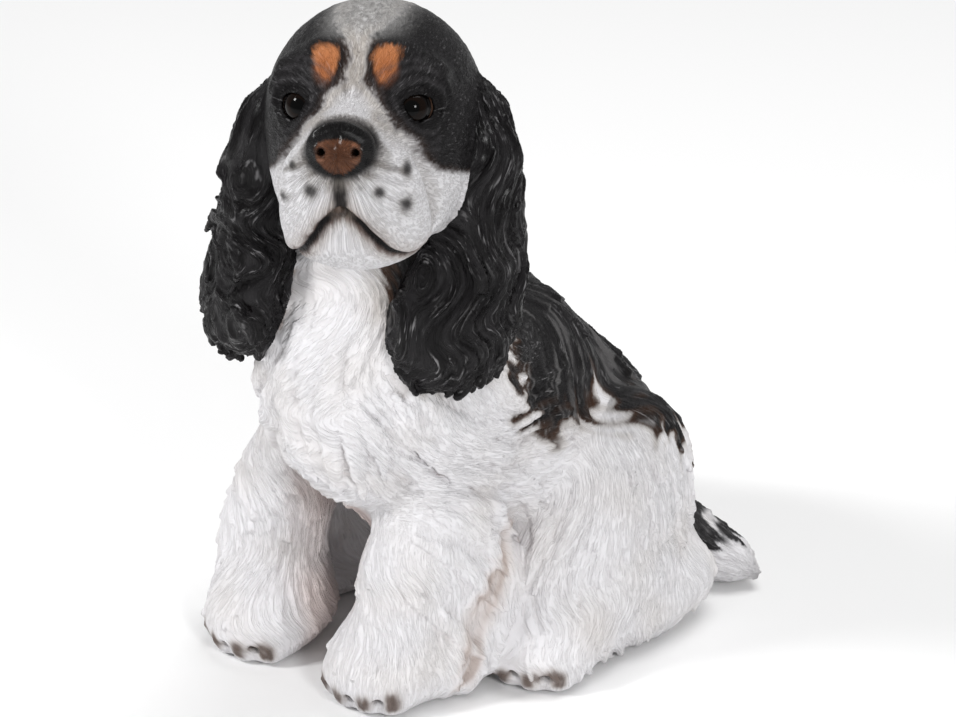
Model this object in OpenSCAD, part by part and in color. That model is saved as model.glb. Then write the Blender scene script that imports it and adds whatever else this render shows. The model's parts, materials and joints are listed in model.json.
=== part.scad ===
// Seated spaniel puppy figurine, slip cast in sections that are luted together where they meet.
// +Z is up, the body faces -Y and the dog's left is +X. The figure stands on z = 0.

/* [Figure] */
// Height over the top of the skull
height = 300; // [270:5:350]
// Thickness of the cast wall
wall = 6; // [4:0.5:7]
// Turn of the head to the dog's left
head_yaw = 31; // [24:0.5:36]
// Lift of the muzzle
head_pitch = 17; // [10:0.5:22]

/* [Fittings] */
// Radius of the domed glass eyes
eye_r = 8.4; // [7:0.1:9]
// Radius of the vent hole under the body
vent_r = 6; // [3:0.5:8]
// Radius of the felt pads
felt_r = 11; // [8:0.5:12]
// Thickness of the felt pads
felt_t = 1.5; // [1:0.5:2]

/* [Hidden] */

// Forms are drawn for a figure 300 mm high and scaled by this.
size = height / 300;

// ---------- Smooth forms: lumps of clay that run into each other ----------

function turn_x(a) = [[1, 0, 0], [0, cos(a), -sin(a)], [0, sin(a), cos(a)]];
function turn_y(a) = [[cos(a), 0, sin(a)], [0, 1, 0], [-sin(a), 0, cos(a)]];
function turn_z(a) = [[cos(a), -sin(a), 0], [sin(a), cos(a), 0], [0, 0, 1]];
function turn(a) = turn_z(a.z) * turn_y(a.y) * turn_x(a.x);
function transpose(m) = [for (i = [0:2]) [for (j = [0:2]) m[j][i]]];
function total(v) = v * [for (x = v) 1];
function unit(v) = v / norm(v);

// An ellipsoid: its centre, its radii, and the matrix that turns a point into its own axes.
function lump(centre, radii, angles = [0, 0, 0]) =
    [centre * size, radii * size, transpose(turn(angles))];

// Two lumps, mirrored left and right.
function pair(centre, radii, angles = [0, 0, 0]) =
    [for (s = [-1, 1])
        lump([s * centre.x, centre.y, centre.z], radii, [angles.x, s * angles.y, s * angles.z])];

// Lumps drawn about their own origin, moved to a place on the figure and turned there.
function placed(lumps, at, angles) =
    let (m = turn(angles))
    [for (l = lumps) [at * size + m * l[0], l[1], l[2] * transpose(m)]];

// How far a point is outside one lump, below zero inside it.
function lump_level(p, l) =
    let (q = l[2] * (p - l[0]),
         a = [q.x / l[1].x, q.y / l[1].y, q.z / l[1].z],
         b = [a.x / l[1].x, a.y / l[1].y, a.z / l[1].z],
         k = norm(a))
    k < 0.001 ? -min(l[1]) : k * (k - 1) / norm(b);

// The same for all the lumps together, which blend over about this length.
function level(p, lumps, blend) =
    -blend * ln(total([for (l = lumps) exp(-lump_level(p, l) / blend)]));

// Distance from a point inside a form to its skin along a direction, found by stepping inwards.
function skin_at(from, dir, lumps, blend, depth, reach, steps) =
    steps == 0 ? max(reach, 1) :
    skin_at(from, dir, lumps, blend, depth,
            reach - 0.92 * (level(from + dir * reach, lumps, blend) + depth), steps - 1);

// Closed mesh of a form: rays leave a spine, turning from one end's pole to the other's.
// stretch is 1 on a round form and about 3 on a long one. depth takes the skin inwards.
module skin(lumps, blend, foot, tip, rings, sides, stretch = 1, depth = 0) {
    axis = unit(tip - foot);
    side = unit(cross(axis, abs(axis.x) < 0.7 ? [1, 0, 0] : [0, 1, 0]));
    other = cross(axis, side);
    reach = 150 * size;
    function tilt(t) = 90 + 90 * sign(2 * t - 1) * pow(abs(2 * t - 1), stretch);
    function direction(t, a) = -cos(tilt(t)) * axis + sin(tilt(t)) * (cos(a) * side + sin(a) * other);
    function place(t, a) =
        let (from = foot + (tip - foot) * t, dir = direction(t, a))
        from + dir * skin_at(from, dir, lumps, blend, depth, reach, 14);
    points = [place(0, 0),
              for (r = [1:rings - 1]) for (s = [0:sides - 1]) place(r / rings, 360 * s / sides),
              place(1, 0)];
    function at(r, s) = 1 + (r - 1) * sides + (s % sides);
    last = len(points) - 1;
    faces = [for (s = [0:sides - 1]) [0, at(1, s), at(1, s + 1)],
             for (r = [1:rings - 2]) for (s = [0:sides - 1]) each [
                 [at(r, s), at(r + 1, s), at(r + 1, s + 1)],
                 [at(r, s), at(r + 1, s + 1), at(r, s + 1)]],
             for (s = [0:sides - 1]) [last, at(rings - 1, s + 1), at(rings - 1, s)]];
    polyhedron(points, faces);
}

// ---------- Torso: rump, belly, chest, ruff and neck ----------

torso_blend = 9 * size;
torso_lumps = [
    lump([2, 46, 58], [62, 58, 60]),            // rump
    lump([0, 13, 93], [53, 52, 62], [-14, 0, 0]), // barrel
    lump([-4, -30, 128], [54, 42, 58]),         // chest
    lump([-2, -54, 142], [38, 30, 56], [-8, 0, 0]), // ruff
    lump([6, -43, 195], [35, 33, 46]),          // neck
];
module torso_form(depth = 0, rings = 34, sides = 40)
    skin(torso_lumps, torso_blend, [0, 30, 50] * size, [6, -42, 195] * size, rings, sides, 1.6, depth);

// ---------- Head: drawn with the skull at the origin and the muzzle towards -Y ----------

head_at = [17.5, -63, 255];
head_roll = -2.5;
head_turn = [-head_pitch, head_roll, head_yaw];
head_blend = 5 * size;
skull_lumps = concat(
    [lump([0, 2, 2], [41.5, 43.5, 41.5]),       // cranium
     lump([0, -22, 5], [32, 21, 25]),           // forehead
     lump([0, -41, -14], [18, 31, 17]),         // bridge of the muzzle
     lump([0, -34, -42], [20, 24, 14]),         // chin
     lump([0, -60, -10], [14, 13, 12])],        // nose
    pair([11, -40, -29], [16, 27, 22]),         // lips
    pair([19, -11, -20], [17.5, 26, 26]));        // cheeks
head_lumps = placed(skull_lumps, head_at, head_turn);
function on_head(p) = head_at * size + turn(head_turn) * p * size;
module head_form(depth = 0, rings = 38, sides = 36)
    skin(head_lumps, head_blend, on_head([0, 8, 0]), on_head([0, -42, -22]), rings, sides, 1.3, depth);

// ---------- Ears: long leathers, from the side of the skull to the shoulder ----------

ear_blend = 6 * size;
function ear_root(s) = head_at + turn(head_turn) * [s * 39.8, 3.5, -4.2];
ear_left_lumps = [
    lump(ear_root(1), [10, 14, 18], [0, -12, 20]),
    lump([57, -44, 222], [11, 17, 28], [0, 0, 8]),
    lump([52, -51, 186], [12, 23, 32], [0, 4, -14]),
    lump([48, -57, 167], [12, 22, 26], [8, 8, -36]),
];
ear_right_lumps = [
    lump(ear_root(-1), [10, 14, 18], [0, 14, 30]),
    lump([-27, -82, 220], [11, 17, 28], [0, 4, 36]),
    lump([-29, -83, 187], [12, 19, 30], [0, 8, 50]),
    lump([-37, -82, 168], [12, 20, 23], [0, 10, 58]),
];
module ear_left_form()
    skin(ear_left_lumps, ear_blend, [56, -44, 245] * size, [48, -60, 152] * size, 26, 24, 2.2);
module ear_right_form()
    skin(ear_right_lumps, ear_blend, [-21, -80, 245] * size, [-35, -83, 152] * size, 26, 24, 2.2);

// ---------- Legs: a paw with four toes, and the leg that rises from it ----------

leg_blend = 5 * size;

// Toes stand in an arc round the front of a paw.
function toes(at, angle, r = 16, toe = [7.5, 12, 10]) =
    [for (i = [-1.5:1.5]) let (a = angle + i * 24)
        lump(at + [r * sin(a), -r * cos(a), -5], toe, [0, 0, a])];
function foreleg_lumps(paw, heel, flare, slim, elbow, girth, shoulder, angle) = concat(
    [lump(paw, [23, 22, 15], [0, 0, angle]),
     lump(paw + heel, [20, 22, 18]),                        // feathering behind the paw
     lump((paw * 2 + elbow) / 3 + [flare, 4, 2], [23 - slim, 21 - slim, 26]), // pastern
     lump((paw + elbow * 2) / 3 + [flare / 2, 0, 0], [20 - slim, 20 - slim, 32]), // forearm
     lump(elbow, girth),
     lump(shoulder, [20, 28, 32])],
    toes(paw, angle, 17));
module foreleg_form(lumps, paw, shoulder, depth = 0, rings = 30, sides = 26)
    skin(lumps, leg_blend, (paw + [0, 2, -3]) * size, shoulder * size, rings, sides, 1.4, depth);

foreleg_left_paw = [18, -55, 15];
foreleg_left_top = [34, -30, 118];
foreleg_left_elbow = [30, -38, 82];
foreleg_left_feather = lump([42, -25, 43], [13, 15, 25]);
foreleg_left_lumps = concat(
    foreleg_lumps(foreleg_left_paw, [14, 16, 0], -1, 0,
        foreleg_left_elbow, [20, 25, 34], foreleg_left_top, 4),
    [foreleg_left_feather]);
foreleg_right_paw = [-47, -53, 15];
foreleg_right_top = [-32, -32, 110];
foreleg_right_elbow = [-45, -41, 76];
foreleg_right_lumps =
    foreleg_lumps(foreleg_right_paw, [-8, 8, 2], -15, 4,
        foreleg_right_elbow, [14, 19, 31], foreleg_right_top, -4);

function hind_leg_lumps(s, paw, angle) = concat(
    [lump([s * 48, 44, 54], [30, 48, 50], [-10, 0, s * 6]),   // thigh
     lump([s * 54, 20, 42], [22, 34, 34]),                    // knee
     lump([s * 60, 46, 17], [23, 44, 20], [0, 0, s * -6]),    // hock
     lump(paw, [22, 24, 15], [0, 0, angle])],
    toes(paw, angle));
module hind_leg_form(lumps, paw, s, depth = 0, rings = 30, sides = 28)
    skin(lumps, leg_blend, (paw + [0, 10, -1]) * size, [s * 53, 60, 42] * size, rings, sides, 1.3, depth);
hind_left_paw = [55, 2, 14];
hind_left_lumps = hind_leg_lumps(1, hind_left_paw, 8);
hind_right_paw = [-64, 8, 14];
hind_right_lumps = hind_leg_lumps(-1, hind_right_paw, -14);

// ---------- Tail: a short feathered tail, laid round to the left ----------

tail_lumps = [
    lump([16, 96, 18], [20, 18, 17]),
    lump([38, 103, 13], [22, 14, 14], [0, 6, 8]),
    lump([56, 106.5, 9], [22, 12.5, 10], [0, 4, 4]),
];
module tail_form()
    skin(tail_lumps, leg_blend, [16, 96, 17] * size, [59, 106, 9] * size, 20, 20, 1.6);

// ---------- Standing the figure: what is cut level, and where it is put ----------

// Middle of the figure's outline seen from above, so that it can stand over the origin.
footprint = [-3.34, -6.67];
module stand() translate([-footprint.x * size, -footprint.y * size, felt_t]) children();

// Everything below a level, which is ground away.
module below(level = 0)
    translate([-height, -height, level - height]) cube([2 * height, 2 * height, height]);

// A form cut level at the bottom.
module levelled(level = 0) difference() {
    children();
    below(level);
}

// ---------- Hollows: castings open into each other where they are luted ----------

cavity_rings = 18;
cavity_sides = 24;
limb_cavity_sides = 16;
bore_sides = 32;
round_sides = 64;
module torso_hollow() levelled(wall) torso_form(wall, cavity_rings, cavity_sides);
module head_hollow() head_form(wall, cavity_rings, cavity_sides);

// Air holes through the wall of the torso, one for each hollow limb.
air_r = 3;
limb_air = [[foreleg_left_top, [0, -20, 120]],
            [foreleg_right_top, [-4, -20, 120]],
            [[50, 44, 60], [0, 44, 62]],
            [[-50, 44, 60], [0, 44, 62]]];
module rod(from, to, r) {
    way = unit(to - from);
    translate(from)
        rotate([0, acos(way.z), atan2(way.y, way.x)])
            cylinder(r = r, h = norm(to - from), $fn = bore_sides);
}
module air(i) rod(limb_air[i][0] * size, limb_air[i][1] * size, air_r);
vent_y = 34;
module vent()
    translate([0, vent_y * size, -1]) cylinder(r = vent_r, h = wall + 3, $fn = round_sides);

// ---------- Eyes: a glass ball with a short stem that plugs into the socket ----------

stem_r = 2.5;
stem_length = 13;
function eye_at(s) = on_head([s * 20.5, -34.5, 4.5]);
eye_tilt = 90;
eye_splay = 22;
module eye_shape(s)
    translate(eye_at(s))
        rotate(head_turn)
            rotate([eye_tilt, 0, s * eye_splay])
                union() {
                    sphere(r = eye_r, $fn = round_sides);
                    translate([0, 0, -stem_length]) cylinder(r = stem_r, h = stem_length, $fn = bore_sides);
                }

// ---------- Sub-parts ----------

white_ware = "#ECE9E2";
black_ware = "#2A282A";

module torso() color(white_ware) stand() difference() {
    levelled() torso_form();
    torso_hollow();
    head_form();
    vent();
    for (i = [0:3]) air(i);
}
module head() color("#C9C5BE") stand() difference() {
    head_form();
    head_hollow();
    torso_form(wall, cavity_rings, cavity_sides);
    for (s = [-1, 1]) eye_shape(s);
}
module ear_left() color(black_ware) stand() difference() {
    ear_left_form();
    head_form();
    torso_form();
}
module ear_right() color(black_ware) stand() difference() {
    ear_right_form();
    head_form();
    torso_form();
}
module foreleg(lumps, paw, top) color(white_ware) stand() difference() {
    levelled() foreleg_form(lumps, paw, top);
    levelled(wall) foreleg_form(lumps, paw, top, wall, cavity_rings, limb_cavity_sides);
    torso_form();
}
module foreleg_left() foreleg(foreleg_left_lumps, foreleg_left_paw, foreleg_left_top);
module foreleg_right() foreleg(foreleg_right_lumps, foreleg_right_paw, foreleg_right_top);
module hind_leg(lumps, paw, s) color(white_ware) stand() difference() {
    levelled() hind_leg_form(lumps, paw, s);
    levelled(wall) hind_leg_form(lumps, paw, s, wall, cavity_rings, limb_cavity_sides);
    torso_form();
}
module hind_leg_left() hind_leg(hind_left_lumps, hind_left_paw, 1);
module hind_leg_right() hind_leg(hind_right_lumps, hind_right_paw, -1);
module tail() color(white_ware) stand() difference() {
    levelled() tail_form();
    torso_form();
}
module eye_left() color("#1A0F0A") stand() eye_shape(1);
module eye_right() color("#1A0F0A") stand() eye_shape(-1);

// Where the pads go: four paws and the rump.
rump_pad = [2, 60, 0];
pads = [foreleg_left_paw, foreleg_right_paw, hind_left_paw, hind_right_paw, rump_pad];
module felt_pads() color("#3C4A3E") stand()
    for (p = pads)
        translate([p.x * size, p.y * size, -felt_t]) cylinder(r = felt_r, h = felt_t, $fn = round_sides);

torso();
head();
ear_left();
ear_right();
foreleg_left();
foreleg_right();
hind_leg_left();
hind_leg_right();
tail();
eye_left();
eye_right();
felt_pads();
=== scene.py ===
"""Seated spaniel puppy figurine: hair relief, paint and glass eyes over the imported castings."""
import json
import math

import bpy
import numpy as np
import openvdb
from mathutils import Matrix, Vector


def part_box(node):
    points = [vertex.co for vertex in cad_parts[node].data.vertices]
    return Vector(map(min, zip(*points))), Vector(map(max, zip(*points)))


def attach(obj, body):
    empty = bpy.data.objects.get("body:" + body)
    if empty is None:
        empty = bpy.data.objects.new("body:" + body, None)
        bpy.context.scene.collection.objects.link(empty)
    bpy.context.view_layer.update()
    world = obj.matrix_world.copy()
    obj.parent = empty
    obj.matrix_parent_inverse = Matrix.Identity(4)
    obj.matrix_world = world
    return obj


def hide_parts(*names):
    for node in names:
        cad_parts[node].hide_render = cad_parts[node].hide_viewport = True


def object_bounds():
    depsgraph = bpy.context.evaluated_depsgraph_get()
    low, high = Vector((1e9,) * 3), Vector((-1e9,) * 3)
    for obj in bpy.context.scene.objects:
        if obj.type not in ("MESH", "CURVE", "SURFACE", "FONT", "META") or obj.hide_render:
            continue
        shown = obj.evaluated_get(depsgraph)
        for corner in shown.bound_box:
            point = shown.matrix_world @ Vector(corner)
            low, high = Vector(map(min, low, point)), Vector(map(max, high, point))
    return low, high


for spare in ("Cube", "Light", "Camera"):
    if spare in bpy.data.objects:
        bpy.data.objects.remove(bpy.data.objects[spare])
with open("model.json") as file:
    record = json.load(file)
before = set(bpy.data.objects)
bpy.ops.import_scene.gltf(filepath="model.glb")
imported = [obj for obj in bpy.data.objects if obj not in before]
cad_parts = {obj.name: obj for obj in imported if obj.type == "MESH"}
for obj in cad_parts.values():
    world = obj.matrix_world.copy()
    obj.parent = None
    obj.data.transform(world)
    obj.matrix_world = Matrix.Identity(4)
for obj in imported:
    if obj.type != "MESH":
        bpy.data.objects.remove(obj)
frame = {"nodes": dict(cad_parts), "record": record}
CAD_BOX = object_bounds()
NODES = frame["nodes"]

# Lengths below are millimetres, in the CAD frame, until a mesh is made.
MM = 0.001
VOXEL = 1.0
BAND = 8 * VOXEL
CAST = ["torso", "head", "ear_left", "ear_right", "foreleg_left", "foreleg_right",
        "hind_leg_left", "hind_leg_right", "tail"]
# How far each casting's clay is smoothed into what it joins.
JOIN = {"torso": 1, "head": 5, "ear_left": 3, "ear_right": 3, "foreleg_left": 8, "foreleg_right": 8,
        "hind_leg_left": 7, "hind_leg_right": 7, "tail": 5}
# Places and angles that the castings were drawn with.
HEAD_TURN = (-17, -2.5, 31)
EYES_IN_HEAD = (0, -34.5, 4.5)
EYE_RADIUS = 8.4
PAD_HEIGHT = 1.5
VENT = (3.34, 40.67)
VENT_RADIUS = 6


# ---------- Noise: one periodic volume of smooth random values, sampled at any scale ----------

def noise_volume(size=96, wavelength=6.0, seed=7):
    """A periodic volume whose features are all about one wavelength across, in cells."""
    rng = np.random.default_rng(seed)
    k = np.fft.fftfreq(size)
    kx, ky, kz = np.meshgrid(k, k, k, indexing="ij")
    radius = np.sqrt(kx * kx + ky * ky + kz * kz) * wavelength
    spectrum = np.fft.fftn(rng.standard_normal((size,) * 3)) * np.exp(-((radius - 1) / 0.28) ** 2)
    volume = np.fft.ifftn(spectrum).real
    return (volume / volume.std()).astype(np.float32)


NOISE_SIZE = 96
NOISE_CELLS = 6.0
NOISE = np.pad(noise_volume(NOISE_SIZE, NOISE_CELLS), (0, 1), mode="wrap").ravel()


def noise(points, wavelength, shift=0.0):
    """Smooth noise with unit spread at points (N, 3), about one feature per wavelength."""
    row = NOISE_SIZE + 1
    q = np.asarray(points, np.float32) * np.float32(NOISE_CELLS / wavelength) + np.float32(shift)
    base = np.floor(q)
    f = q - base
    base = base.astype(np.int32) % NOISE_SIZE
    at = (base[:, 0] * row + base[:, 1]) * row + base[:, 2]
    fx, fy, fz = f[:, 0], f[:, 1], f[:, 2]

    def edge(step):
        low = NOISE.take(at + step)
        return low + (NOISE.take(at + (step + 1)) - low) * fz

    def face(step):
        low = edge(step)
        return low + (edge(step + row) - low) * fy

    low = face(0)
    return low + (face(row * row) - low) * fx


def swell(points, wavelength, shift=0.0):
    """A slow drift with unit spread, from a few crossing waves."""
    out = 0.0
    for i, way in enumerate(((0.8, 0.5, 0.33), (-0.45, 0.75, 0.5), (0.3, -0.55, 0.78), (0.6, 0.2, -0.77))):
        phase = points @ (np.array(way) * (2 * math.pi / wavelength * (0.8 + 0.17 * i)))
        out = out + np.sin(phase.astype(np.float32) + np.float32(shift + 1.9 * i))
    return out * 0.7


def smoothstep(low, high, x):
    t = np.clip((x - low) / (high - low), 0, 1)
    return t * t * (3 - 2 * t)


def mix(a, b, t):
    return a + (b - a) * t


# ---------- Distance fields on one grid ----------

def mesh_arrays(obj):
    mesh = obj.data
    mesh.calc_loop_triangles()
    points = np.empty(len(mesh.vertices) * 3, np.float32)
    mesh.vertices.foreach_get("co", points)
    triangles = np.empty(len(mesh.loop_triangles) * 3, np.int32)
    mesh.loop_triangles.foreach_get("vertices", triangles)
    return points.reshape(-1, 3) / MM, triangles.reshape(-1, 3)


SOLIDS = {name: mesh_arrays(NODES[name]) for name in NODES}
LOW = np.min([points.min(0) for points, _ in SOLIDS.values()], axis=0)
HIGH = np.max([points.max(0) for points, _ in SOLIDS.values()], axis=0)
FIRST = np.floor(LOW / VOXEL).astype(int) - 12
SHAPE = tuple(np.ceil(HIGH / VOXEL).astype(int) + 12 - FIRST)


def level_set(name):
    """A casting's signed distance, as a window of the grid and the values in it."""
    points, triangles = SOLIDS[name]
    grid = openvdb.FloatGrid.createLevelSetFromPolygons(
        points.astype(np.float32), triangles=triangles.astype(np.uint32),
        transform=openvdb.createLinearTransform(voxelSize=VOXEL), halfWidth=BAND / VOXEL)
    low, high = (np.array(c) for c in grid.evalActiveVoxelBoundingBox())
    values = np.empty(tuple(high - low + 1), np.float32)
    grid.copyToArray(values, ijk=tuple(int(c) for c in low))
    return tuple(slice(a, b) for a, b in zip(low - FIRST, high - FIRST + 1)), values


def smooth_min(a, b, k):
    h = np.maximum(k - np.abs(a - b), 0) / k
    return np.minimum(a, b) - h * h * k * 0.25


def smooth_max(a, b, k):
    return -smooth_min(-a, -b, k)


def around(centre, reach):
    """The window of the grid within reach of a point, and the coordinates in it."""
    centre, reach = np.asarray(centre, float), np.broadcast_to(reach, 3)
    low = np.clip(np.floor((centre - reach) / VOXEL).astype(int) - FIRST, 0, SHAPE)
    high = np.clip(np.ceil((centre + reach) / VOXEL).astype(int) - FIRST + 1, 0, SHAPE)
    axes = [((np.arange(a, b) + f) * VOXEL).astype(np.float32)
            for a, b, f in zip(low, high, FIRST)]
    return tuple(slice(a, b) for a, b in zip(low, high)), np.meshgrid(*axes, indexing="ij", sparse=True)


def blur(field, sigma):
    """Gaussian blur along each axis, by sigma in millimetres."""
    reach = int(math.ceil(2.5 * sigma / VOXEL))
    taps = np.exp(-0.5 * (np.arange(-reach, reach + 1) * VOXEL / sigma) ** 2)
    taps = (taps / taps.sum()).astype(np.float32)
    for axis in range(3):
        out = field * taps[reach]
        for step in range(1, reach + 1):
            ahead = [slice(None)] * 3
            behind = [slice(None)] * 3
            ahead[axis], behind[axis] = slice(step, None), slice(None, -step)
            out[tuple(behind)] += field[tuple(ahead)] * taps[reach + step]
            out[tuple(ahead)] += field[tuple(behind)] * taps[reach - step]
        field = out
    return field


def sample(field, points, outside=BAND):
    """A grid field at points (N, 3), by the eight voxels around each."""
    q = points / VOXEL - FIRST
    base = np.clip(np.floor(q).astype(np.int32), 0, np.array(field.shape) - 2)
    f = (q - base).astype(np.float32)
    out = np.zeros(len(points), np.float32)
    for cx in (0, 1):
        for cy in (0, 1):
            for cz in (0, 1):
                weight = (f[:, 0] if cx else 1 - f[:, 0]) * (f[:, 1] if cy else 1 - f[:, 1]) \
                    * (f[:, 2] if cz else 1 - f[:, 2])
                out += weight * field[base[:, 0] + cx, base[:, 1] + cy, base[:, 2] + cz]
    return out


# ---------- The figure as one form ----------

form = np.full(SHAPE, BAND, np.float32)
parts = {}
for name in CAST + ["eye_left", "eye_right"]:
    window, values = level_set(name)
    parts[name] = (window, values)
    form[window] = smooth_min(form[window], values, JOIN.get(name, 1))


def capsule(x, y, z, a, b, ra, rb=None):
    """Distance to a rod from a to b whose radius runs from ra to rb."""
    rb = ra if rb is None else rb
    a, b = np.asarray(a, np.float32), np.asarray(b, np.float32)
    d = b - a
    t = ((x - a[0]) * d[0] + (y - a[1]) * d[1] + (z - a[2]) * d[2]) / max(float(d @ d), 1e-6)
    t = np.clip(t, 0, 1)
    return np.sqrt((x - a[0] - t * d[0]) ** 2 + (y - a[1] - t * d[1]) ** 2
                   + (z - a[2] - t * d[2]) ** 2) - (ra + (rb - ra) * t)


def ellipsoid(x, y, z, centre, radii):
    u, v, w = ((c - p) / r for c, p, r in zip((x, y, z), centre, radii))
    k = np.sqrt(u * u + v * v + w * w)
    g = np.sqrt((u / radii[0]) ** 2 + (v / radii[1]) ** 2 + (w / radii[2]) ** 2)
    return k * (k - 1) / np.maximum(g, 1e-6)


def fill_hollows():
    """Makes the castings solid: what the air outside can't reach is filled."""
    window, (x, y, z) = around((*VENT, PAD_HEIGHT), (12, 12, 12))
    form[window] = np.minimum(form[window], ellipsoid(x, y, z, (*VENT, PAD_HEIGHT + 3), (11, 11, 6)))
    step = max(1, round(2.4 / VOXEL))
    air = form[::step, ::step, ::step] > 0
    outside = np.zeros_like(air)
    outside[0], outside[-1], outside[:, :, -1], outside[:, :, 0] = True, True, True, True
    count = 0
    while outside.sum() != count:
        count = outside.sum()
        for _ in range(8):
            grown = outside.copy()
            for axis in range(3):
                a, b = [slice(None)] * 3, [slice(None)] * 3
                a[axis], b[axis] = slice(1, None), slice(None, -1)
                grown[tuple(a)] |= outside[tuple(b)]
                grown[tuple(b)] |= outside[tuple(a)]
            outside = grown & air
    hollow = air & ~outside
    for _ in range(2):
        grown = hollow.copy()
        for axis in range(3):
            a, b = [slice(None)] * 3, [slice(None)] * 3
            a[axis], b[axis] = slice(1, None), slice(None, -1)
            grown[tuple(a)] |= hollow[tuple(b)]
            grown[tuple(b)] |= hollow[tuple(a)]
        hollow = grown & ~outside
    fine = hollow.repeat(step, 0).repeat(step, 1).repeat(step, 2)[:SHAPE[0], :SHAPE[1], :SHAPE[2]]
    pad = [(0, s - n) for s, n in zip(SHAPE, fine.shape)]
    fine = np.pad(fine, pad)
    form[fine] = np.minimum(form[fine], -2.0)


fill_hollows()
form = blur(form, 1.5)


# ---------- The head's own frame: x to the dog's left, y to the back, z up ----------

def turn(angles):
    ax, ay, az = (math.radians(a) for a in angles)
    rx = np.array([[1, 0, 0], [0, math.cos(ax), -math.sin(ax)], [0, math.sin(ax), math.cos(ax)]])
    ry = np.array([[math.cos(ay), 0, math.sin(ay)], [0, 1, 0], [-math.sin(ay), 0, math.cos(ay)]])
    rz = np.array([[math.cos(az), -math.sin(az), 0], [math.sin(az), math.cos(az), 0], [0, 0, 1]])
    return rz @ ry @ rx


def ball_centre(name):
    """The centre of an eye's ball, fitted to the points that lie on it."""
    points = SOLIDS[name][0]
    centre = points.mean(0)
    for _ in range(6):
        near = points[np.abs(np.linalg.norm(points - centre, axis=1) - EYE_RADIUS) < 1.5]
        rows = np.c_[2 * near, np.ones(len(near))]
        centre = np.linalg.lstsq(rows, (near ** 2).sum(1), rcond=None)[0][:3]
    return centre


EYES = {side: ball_centre("eye_" + side) for side in ("left", "right")}
HEAD = turn(HEAD_TURN)
HEAD_AT = (EYES["left"] + EYES["right"]) / 2 - HEAD @ np.array(EYES_IN_HEAD)


def to_head(points):
    return (points - HEAD_AT) @ HEAD


def from_head(point):
    return HEAD @ np.asarray(point, float) + HEAD_AT


def head_axes(x, y, z):
    """Grid coordinates, turned into the head's frame."""
    dx, dy, dz = x - np.float32(HEAD_AT[0]), y - np.float32(HEAD_AT[1]), z - np.float32(HEAD_AT[2])
    return [dx * np.float32(HEAD[0, i]) + dy * np.float32(HEAD[1, i]) + dz * np.float32(HEAD[2, i])
            for i in range(3)]


def add(window, shape, k):
    form[window] = smooth_min(form[window], shape, k)


def carve(window, shape, k):
    form[window] = smooth_max(form[window], -shape, k)


def slope(points, reach=1.2):
    """The form's outward direction at points (N, 3)."""
    out = np.empty_like(points)
    for axis in range(3):
        ahead, behind = points.copy(), points.copy()
        ahead[:, axis] += reach
        behind[:, axis] -= reach
        out[:, axis] = sample(form, ahead) - sample(form, behind)
    return out / np.maximum(np.linalg.norm(out, axis=1, keepdims=True), 1e-6)


def settle(points, depth=0.0):
    """Points moved on to the form's surface, or so deep below it."""
    points = np.array(points, float)
    for _ in range(8):
        points -= slope(points) * (sample(form, points) + depth)[:, None]
    return points


def chain(path, radii):
    """A window and the distance in it to a tapering cord through the points of a path."""
    path = np.asarray(path, float)
    low, high = path.min(0), path.max(0)
    window, (x, y, z) = around((low + high) / 2, (high - low) / 2 + max(radii) + 5)
    shape = None
    for i in range(len(path) - 1):
        link = capsule(x, y, z, path[i], path[i + 1], radii[i], radii[i + 1])
        shape = link if shape is None else np.minimum(shape, link)
    return window, shape


def head_path(points, depth=0.0, parts_between=4):
    """A path in the head's frame, laid on the surface of the form."""
    points = np.array(points, float)
    steps = np.linspace(0, len(points) - 1, (len(points) - 1) * parts_between + 1)
    dense = np.c_[tuple(np.interp(steps, np.arange(len(points)), points[:, i]) for i in range(3))]
    return settle(dense @ HEAD.T + HEAD_AT, depth)


def ridge(points, radius, depth, k, both=True):
    for sign in (1, -1) if both else (1,):
        path = head_path([(sign * x, y, z) for x, y, z in points], depth)
        ends = np.sin(np.linspace(0.25, math.pi - 0.25, len(path)))
        add(*chain(path, radius * ends), k)


def furrow(points, radius, k, both=True, depth=0.0, taper=True):
    for sign in (1, -1) if both else (1,):
        path = head_path([(sign * x, y, z) for x, y, z in points], depth)
        ends = np.sin(np.linspace(0.35, math.pi - 0.35, len(path))) if taper else np.ones(len(path))
        carve(*chain(path, radius * ends), k)


# The mouth, from the middle of the lip to the left corner, and the nose, in the head's frame.
MOUTH = [(0, -68, -32.5), (3.5, -68, -33.5), (8, -66.5, -37), (12.5, -62, -43), (17, -55, -47.5), (22, -45, -49.5),
         (26.5, -34, -48.5)]
NOSE = (0, -68.5, -8.5)
NOSE_SIZE = (11.2, 8, 9.0)
NOSTRIL = (6.6, -76, -9.5)


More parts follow.
